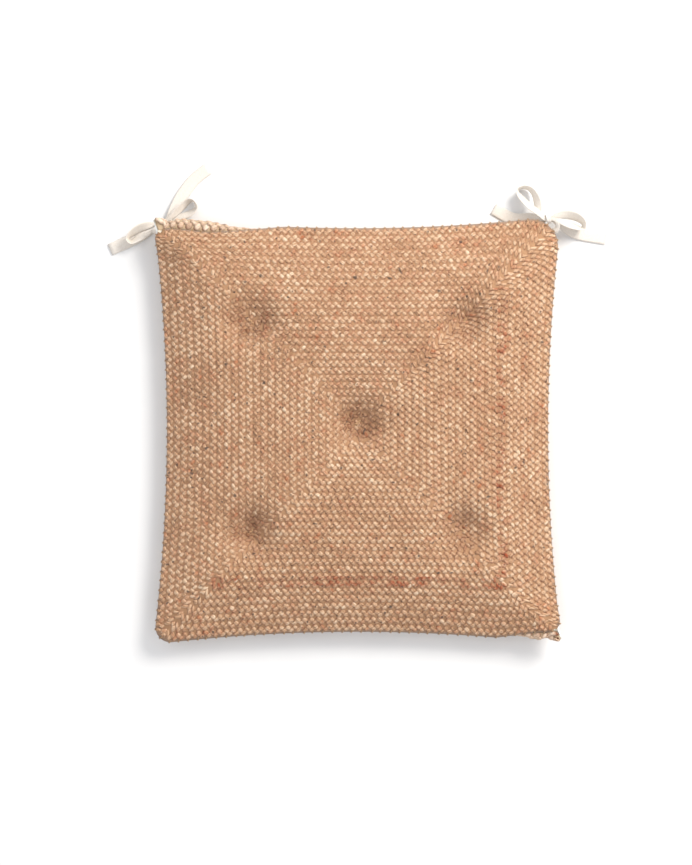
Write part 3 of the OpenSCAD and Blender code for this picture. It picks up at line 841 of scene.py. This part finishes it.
# %% The table top: matt white paint, with a mottle too faint to read as a pattern
def table_finish():
    material, tree, shader = finish("matt white paint", 0.95)
    place = add(tree, "TexCoord").outputs["Object"]
    mottle = add(tree, "TexNoise", {"Vector": place, "Scale": 1 / (40 * MM), "Detail": 2.0})
    body = ramp(tree, mottle, [(0.3, "#e6e6e5"), (0.7, "#e8e8e7")])
    tree.links.new(body.outputs[0], shader.inputs["Base Color"])
    return material


floor.data.materials.append(table_finish())

# %% Jute plait
def band(tree, value, low, high):
    """One between two places, falling to nothing over a millimetre on either side."""
    start = between(tree, value, low - MM, low)
    end = between(tree, value, high + MM, high)
    return maths(tree, "MULTIPLY", start, end)


FLECK_SCALE = 1 / (5 * MM)
FIBRE_SCALE = 1 / (1.2 * MM)
RING_RIGHT = (145 * MM, 154 * MM)
RING_FRONT = (-162 * MM, -152 * MM)
RING_LEFT_END = -150 * MM
RING_REAR_END = 150 * MM
DUST_AND_SHADE_REACH = 32 * MM
DUST_AND_SHADE_DEEP = 12 * MM


def jute(name, stops, blotch_tint, ring_tint, depth, lobe_half):
    """Plaited raw jute. stops are its colours from the darkest strand to the palest."""
    material, tree, shader = finish(name, 0.78, 0.12)
    tone = add(tree, "Attribute", attribute_name="tone").outputs["Fac"]
    tint = add(tree, "Attribute", attribute_name="tint").outputs["Fac"]
    fibre = add(tree, "Attribute", attribute_name="fibre").outputs["Vector"]
    flat = add(tree, "Attribute", attribute_name="flat").outputs["Vector"]

    # fibres run along the lobe, so the noise is drawn out eight times in that direction
    shift = add(tree, "CombineXYZ", {"X": tint, "Y": tint, "Z": tone})
    drawn = add(tree, "VectorMath", {0: fibre, 1: (FIBRE_SCALE / 8, FIBRE_SCALE, FIBRE_SCALE)},
                operation="MULTIPLY")
    drawn = add(tree, "VectorMath", {0: shift, 1: (40, 40, 40), 2: drawn}, operation="MULTIPLY_ADD")
    streak = add(tree, "TexNoise", {"Vector": drawn, "Scale": 1.0, "Detail": 3.0, "Roughness": 0.6})
    streak = between(tree, streak, 0.34, 0.66)

    # strand tone, lobe tint and patches a hand wide, added together
    patch = add(tree, "TexNoise", {"Vector": flat, "Scale": 1 / (60 * MM), "Detail": 2.0})
    mix = maths(tree, "MULTIPLY", tone, 0.9)
    mix = maths(tree, "MULTIPLY_ADD", tint, 0.24, mix)
    mix = maths(tree, "MULTIPLY_ADD", patch, 0.5, mix)
    mix = maths(tree, "MULTIPLY_ADD", streak, 0.6, mix)
    mix = maths(tree, "SUBTRACT", mix, 0.67)
    body = ramp(tree, mix, stops)

    # bundles of browner fibre come and go along the strands, in streaks a few lobes long
    blotch = add(tree, "TexNoise", {"Vector": flat, "Scale": 1 / (15 * MM), "Detail": 4.0,
                                              "Roughness": 0.7})
    blotch = between(tree, blotch, 0.44, 0.66)
    browner = maths(tree, "MULTIPLY", blotch, tint)
    body = add(tree, "Mix", {"Factor": browner, "A": body, "B": colour(blotch_tint)},
               data_type="RGBA", blend_type="MULTIPLY").outputs[2]

    # one stretch of the coil was spun from a browner bundle: a ring on the right and at the front
    places = add(tree, "SeparateXYZ", {0: flat}).outputs
    right = band(tree, places["X"], *RING_RIGHT)
    front = band(tree, places["Y"], *RING_FRONT)
    across = band(tree, places["X"], RING_LEFT_END, RING_RIGHT[1])
    along = band(tree, places["Y"], RING_FRONT[0], RING_REAR_END)
    within = maths(tree, "MULTIPLY", across, along)
    ring = maths(tree, "MAXIMUM", right, front)
    ring = maths(tree, "MULTIPLY", ring, within)
    ring = maths(tree, "MULTIPLY", ring, blotch)
    body = add(tree, "Mix", {"Factor": ring, "A": body, "B": colour(ring_tint)},
               data_type="RGBA", blend_type="MULTIPLY").outputs[2]

    # painted shade where the ends of a lobe go under its neighbours: most of all the end at the edge of the
    # row
    end = add(tree, "SeparateXYZ", {0: fibre}).outputs["X"]
    outer = between(tree, end, -0.2 * lobe_half, -0.75 * lobe_half)
    inner = between(tree, end, 0.5 * lobe_half, lobe_half, high=0.6)
    under = maths(tree, "MAXIMUM", outer, inner)
    body = add(tree, "Mix", {"Factor": under, "A": body, "B": colour("#94613f")},
               data_type="RGBA", blend_type="MULTIPLY").outputs[2]

    # dust and wear gather in the hollows round the tufts, and painted shade is added there too: the colour
    # darkens near each tuft, broken by a mottle
    place = add(tree, "TexCoord").outputs["Object"]
    dust_and_shade = 0.0
    for tuft in tufts.values():
        away = add(tree, "VectorMath", {0: place, 1: (tuft.x, tuft.y, CROWN_Z - DUST_AND_SHADE_DEEP)},
                   operation="DISTANCE").outputs["Value"]
        near = between(tree, away, DUST_AND_SHADE_REACH, 2 * MM, interpolation_type="SMOOTHSTEP")
        dust_and_shade = maths(tree, "MAXIMUM", near, dust_and_shade)
    smudge = add(tree, "TexNoise", {"Vector": place, "Scale": 1 / (18 * MM), "Detail": 3.0})
    smudge = between(tree, smudge, 0.36, 0.64, low=0.1)
    dust_and_shade = maths(tree, "MULTIPLY", dust_and_shade, smudge)
    body = add(tree, "Mix", {"Factor": dust_and_shade, "A": body, "B": colour("#a98465")},
               data_type="RGBA", blend_type="MULTIPLY").outputs[2]

    # flecks of bark: rare, small and nearly black
    fleck = add(tree, "TexNoise", {"Vector": flat, "Scale": FLECK_SCALE, "Detail": 1.0})
    fleck = between(tree, fleck, 0.68, 0.74, high=0.85)
    body = add(tree, "Mix", {"Factor": fleck, "A": body, "B": colour("#4a3b30")}, data_type="RGBA")
    surfaced(tree, shader, body, streak, 0.6, depth)
    return material


NATURAL = [(0.0, "#84654b"), (0.2, "#af8562"), (0.42, "#c39d7b"), (0.66, "#d1b292"), (0.95, "#e6d2b6")]
PALE = [(0.0, "#a38771"), (0.25, "#c6a88e"), (0.5, "#d8bfa6"), (0.8, "#e6d3be"), (1.0, "#efe1cf")]
natural_jute = jute("natural jute plait", NATURAL, "#d9a585", "#cf9271", 0.35 * MM, 3.9 * MM)
pale_jute = jute("pale jute plait", PALE, "#ead2bc", "#f0d8c0", 0.4 * MM, 4.6 * MM)

# %% The two panels
TOP_TURNS = 26
BOTTOM_TURNS = 22
plaits = plait_tree()


def panel(name, guide, turns, lobe_step, material, seed):
    """A coiled plait laid on its guide. The lobes keep the same shape at any pitch."""
    pitch = HALF_W / (turns + 0.5)
    return applied(name, coil_path(name + "_coil", pitch, turns), plaits, Guide=guide, Material=material,
                   Step=lobe_step, Length=1.06 * pitch, Width=0.57 * pitch, Height=0.31 * pitch,
                   Side=0.228 * pitch, Lean=0.64, Wobble=0.16, Hop=0.02 * pitch, Roll=0.34, Seed=seed)


top_plait = panel("top_plait", top_guide, TOP_TURNS, 3.4 * MM, natural_jute, 4)
bottom_plait = panel("bottom_plait", bottom_guide, BOTTOM_TURNS, 4.1 * MM, pale_jute, 9)

# %% [markdown]
# ## What is under the plaits
# A plait has strands under the ones that show. They are only glimpsed between the lobes, so a thin
# closed sheet stands for them, coloured darker than the plait's jute as painted shade in the gaps.
# Inside it come the two halves of the calico case and the fibre filling, each drawn in from the pad's
# surface by its own depth, so that nothing can poke through however the simulation leaves the pad.

# %% Layers drawn in from the pad's surface
RIM_GAP = 0.4 * MM


def drawn_in(depth):
    """The pad's two layers, moved inwards by depth and kept apart at the seam."""
    over = upper - upper_normal * depth
    under = lower - lower_normal * depth
    over[..., 2] = np.maximum(over[..., 2], seam_z + RIM_GAP)
    under[..., 2] = np.minimum(under[..., 2], seam_z - RIM_GAP)
    return over, under


backing_out, backing_in = drawn_in(-0.3 * MM), drawn_in(1.7 * MM)
case_out, case_in = drawn_in(2.4 * MM), drawn_in(3.2 * MM)
fill_out = drawn_in(3.6 * MM)
top_backing = closed_body("top_plait_backing", backing_out[0], backing_in[0])
bottom_backing = closed_body("bottom_plait_backing", backing_in[1], backing_out[1])
case_top = closed_body("pad_case_top_cloth", case_out[0], case_in[0])
case_bottom = closed_body("pad_case_bottom_cloth", case_in[1], case_out[1])
filling = closed_body("pad_filling_fibre", fill_out[0], fill_out[1])

# %% Plain finishes for what is inside
def cloth_finish(name, code, thread, roughness=0.85):
    """A plain woven cloth: two sets of threads, drawn as crossed waves of the thread's spacing."""
    material, tree, shader = finish(name, roughness, 0.2)
    place = add(tree, "TexCoord").outputs["Object"]
    warp = add(tree, "TexWave", {"Vector": place, "Scale": 0.5 / thread}, bands_direction="X")
    weft = add(tree, "TexWave", {"Vector": place, "Scale": 0.5 / thread}, bands_direction="Y")
    weave = maths(tree, "MULTIPLY", warp.outputs["Fac"], weft.outputs["Fac"])
    slub = add(tree, "TexNoise", {"Vector": place, "Scale": 1 / (6 * MM), "Detail": 3.0})
    shade = maths(tree, "MULTIPLY_ADD", weave, 0.35, slub)
    body = ramp(tree, shade, [(0.2, code[0]), (0.9, code[1])])
    surfaced(tree, shader, body, weave, 0.5, 0.2 * MM)
    return material


calico = cloth_finish("unbleached calico", ("#d9cbb0", "#efe6d2"), 0.6 * MM)
fibre_fill = cloth_finish("polyester fibre", ("#e6e3dc", "#fbfaf6"), 2.5 * MM, 0.95)
# the two sheets under the plaits are coloured darker than their jute as painted shade in the gaps between
# the lobes
under_jute_in_painted_shade = cloth_finish("jute under the plait", ("#8f6a4a", "#b48a66"), 2.2 * MM)
under_pale_in_painted_shade = cloth_finish("pale jute under the plait", ("#a58a6a", "#cbb190"), 2.2 * MM)

# %% [markdown]
# ## The ties' cotton
# The tapes are bleached cotton twill: fine diagonal ribs about half a millimetre apart, a firmer
# selvedge at each edge, and a soft off-white.

# %% Cotton twill
RIB = 0.7 * MM


def twill_finish():
    material, tree, shader = finish("cotton twill tape", 0.8, 0.25)
    uv = add(tree, "UVMap", uv_map="tape").outputs[0]
    turned = add(tree, "Mapping", {"Vector": uv, "Rotation": (0, 0, math.radians(35))})
    rib = add(tree, "TexWave", {"Vector": turned, "Scale": 0.5 / RIB, "Distortion": 0.4},
              bands_direction="Y")
    yarn = add(tree, "TexNoise", {"Vector": uv, "Scale": 1 / (1.2 * MM), "Detail": 4.0})
    across = add(tree, "SeparateXYZ", {0: uv}).outputs["X"]
    middle = maths(tree, "SUBTRACT", across, TAPE_W / 2)
    middle = maths(tree, "ABSOLUTE", middle)
    selvedge = between(tree, middle, 4.9 * MM, 5.2 * MM)
    shade = maths(tree, "MULTIPLY_ADD", rib.outputs["Fac"], 0.35, yarn)
    body = ramp(tree, shade, [(0.25, "#cabfb1"), (0.6, "#dcd4c9"), (0.95, "#e8e2d9")])
    height = maths(tree, "MULTIPLY_ADD", selvedge, 0.6, shade)
    surfaced(tree, shader, body, height, 0.5, 0.18 * MM)
    return material


twill = twill_finish()
for piece, path, length in tapes.values():
    piece.data.materials.append(twill)

# %% [markdown]
# ## Twine
# The tufts and the edge are sewn with two-ply jute twine. A tree sweeps two round plies along a line
# and turns them as it goes, which is what twisting does, so the same tree makes the stitches round the
# edge, the tuft's stitch and its knot.

# %% The twine's node tree
def twine_tree():
    tree, given = new_tree("two-ply twine", [("Material", "Material"), ("Ply", "Float"), ("Twist", "Float"),
                                             ("Step", "Float")])
    line = add(tree, "MeshToCurve", {"Mesh": given["Geometry"]})
    line = add(tree, "ResampleCurve", {"Curve": line, "Length": given["Step"]}, mode="LENGTH")
    length = add(tree, "SplineParameter").outputs["Length"]
    turn = maths(tree, "MULTIPLY", length, given["Twist"])
    line = add(tree, "SetCurveTilt", {"Curve": line, "Tilt": turn})
    ring = add(tree, "CurvePrimitiveCircle", {"Resolution": 6, "Radius": given["Ply"]})
    out = maths(tree, "MULTIPLY", given["Ply"], 0.86)
    back = maths(tree, "MULTIPLY", out, -1.0)
    sides = [add(tree, "Transform",
                 {"Geometry": ring, "Translation": add(tree, "CombineXYZ", {"X": way})})
             for way in (out, back)]
    plies = add(tree, "JoinGeometry")
    for side in sides:
        tree.links.new(side.outputs[0], plies.inputs[0])
    swept = add(tree, "CurveToMesh", {"Curve": line, "Profile Curve": plies, "Fill Caps": True})
    swept = add(tree, "SetShadeSmooth", {"Geometry": swept})
    swept = add(tree, "RealizeInstances", {"Geometry": swept})
    swept = add(tree, "SetMaterial", {"Geometry": swept, "Material": given["Material"]})
    add(tree, "NodeGroupOutput", {0: swept})
    return tree


def twine_finish():
    material, tree, shader = finish("jute twine", 0.75, 0.15)
    place = add(tree, "TexCoord").outputs["Object"]
    hair = add(tree, "TexNoise", {"Vector": place, "Scale": 1 / (0.7 * MM), "Detail": 4.0})
    body = ramp(tree, hair, [(0.3, "#9a7450"), (0.5, "#bf966c"), (0.75, "#d8b58c")])
    surfaced(tree, shader, body, hair, 0.6, 0.2 * MM)
    return material


twine = twine_tree()
jute_twine = twine_finish()

# %% Tufts: a stitch on the top, the legs through the pad and a knot in the underside
STITCH = 8 * MM
STITCH_TURNS = {"tuft_centre": 35, "tuft_rear_left": -45, "tuft_rear_right": 50,
                "tuft_front_left": 40, "tuft_front_right": -50}
KNOT_R = 1.7 * MM


def surface_z(layer, x, y):
    """Height of a layer at the grid point nearest to a place."""
    near = (layer[..., 0] - x) ** 2 + (layer[..., 1] - y) ** 2
    return float(layer[..., 2].reshape(-1)[near.argmin()])


def tuft_lines(name):
    place = tufts[name]
    turn = math.radians(STITCH_TURNS[name])
    way = Vector((math.cos(turn), math.sin(turn), 0))
    top = surface_z(upper, place.x, place.y) + 0.6 * MM
    low = max(surface_z(lower, place.x, place.y) - 0.5 * MM, 2 * KNOT_R)
    here = Vector((place.x, place.y, 0))
    over = []
    for k in range(13):
        t = k / 12
        across = (t * 2 - 1) * STITCH / 2
        over.append(here + way * across + UP * (top + 1.5 * MM * math.sin(math.pi * t) - 1.2 * MM))
    near = here - way * 1.2 * MM
    far = here + way * 1.2 * MM
    legs = [near + UP * low, near + UP * (top - 5 * MM), *over, far + UP * (top - 5 * MM), far + UP * low]
    knot = []
    for k in range(40):
        t = 2 * math.pi * k / 38
        knot.append(here + Vector((KNOT_R * (math.sin(t) + 2 * math.sin(2 * t)) / 2.2,
                                   KNOT_R * (math.cos(t) - 2 * math.cos(2 * t)) / 2.2,
                                   low - KNOT_R * 0.7 * math.sin(3 * t) - 0.4 * MM)))
    return [[tuple(p) for p in smooth_rows([list(q) for q in legs], 4)], knot]


TUFT_PLY = 0.8 * MM
TUFT_LAY = 5 * MM
tuft_pieces = {}
for name in TUFT_NAMES:
    line = line_object(name + "_line", tuft_lines(name))
    tuft_pieces[name] = applied(name + "_twine", line, twine, Material=jute_twine, Ply=TUFT_PLY,
                                Twist=2 * math.pi / TUFT_LAY, Step=0.9 * MM)

# %% Whip stitches round the edge
STITCH_PITCH = 9.5 * MM
STITCH_REACH = 2.4 * MM
STITCH_SET_IN = 1.5 * MM
STITCH_SLANT = 2.6 * MM


def rim_line():
    """The seam as a closed line, from the outer points of the pad's grid."""
    return upper.reshape(-1, 3)[rim_indices()]


def whip_lines():
    rim = rim_line()
    ahead = np.roll(rim, -1, axis=0)
    span = np.linalg.norm(ahead - rim, axis=1)
    total = span.sum()
    marks = np.concatenate([[0], np.cumsum(span)])
    closed = np.vstack([rim, rim[:1]])
    count = int(total / STITCH_PITCH)
    lines = []
    for k in range(count):
        at = (k + 0.25 * noise.noise(Vector((k * 3.7, 0, 0)))) * total / count
        here = Vector([np.interp(at % total, marks, closed[:, i]) for i in range(3)])
        there = Vector([np.interp((at + 2 * MM) % total, marks, closed[:, i]) for i in range(3)])
        along = (there - here).normalized()
        outward = along.cross(UP)
        line = []
        for j in range(9):
            turn = math.radians(-105 + 210 * j / 8)
            line.append(here + outward * (STITCH_REACH * math.cos(turn) - STITCH_SET_IN)
                        + UP * STITCH_REACH * math.sin(turn) + along * STITCH_SLANT * (j / 8 - 0.5))
        lines.append(line)
    return lines


edge_stitches = applied("edge_whip_stitches", line_object("edge_line", whip_lines()), twine,
                        Material=jute_twine, Ply=0.45 * MM, Twist=2 * math.pi / (4 * MM), Step=1.6 * MM)

# %% [markdown]
# ## Bodies and stand-ins
# Nothing on a cushion turns or slides, so every piece rides on the one body. Every visible piece is
# listed with the plain CAD solid it stands for, and that solid is hidden.

# %% Ride and replace
thread = cloth_finish("tacking thread", ("#e4ddd0", "#f6f2ea"), 0.4 * MM)
for name in ("left_tie_tack", "right_tie_tack"):
    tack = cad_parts[name]
    tack.data.materials.clear()
    tack.data.materials.append(thread)

stands_for = [
    (top_plait, "top_panel", "natural_jute", None), (top_backing, "top_panel", "natural_jute", under_jute_in_painted_shade),
    (bottom_plait, "bottom_panel", "pale_jute", None),
    (bottom_backing, "bottom_panel", "pale_jute", under_pale_in_painted_shade),
    (case_top, "pad_case_top", "calico", calico), (case_bottom, "pad_case_bottom", "calico", calico),
    (filling, "pad_filling", "fibre", fibre_fill), (edge_stitches, "edge_seam_twine", "twine", None)]
stands_for += [(piece, name, "twine", None) for name, piece in tuft_pieces.items()]
stands_for += [(tapes[name][0], name, "cotton_tape", None) for name in tapes]
for piece, node, slot, material in stands_for:
    if material:
        piece.data.materials.append(material)
    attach(piece, "root")
    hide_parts(node)

for name, tack in (("left_tie_rear_tape", "left_tie_tack"), ("left_tie_side_tape", None),
                   ("right_tie_rear_tape", "right_tie_tack"), ("right_tie_side_tape", None)):
    piece, path, length = tapes[name]

for guide in (top_guide, bottom_guide):
    bpy.data.objects.remove(guide)
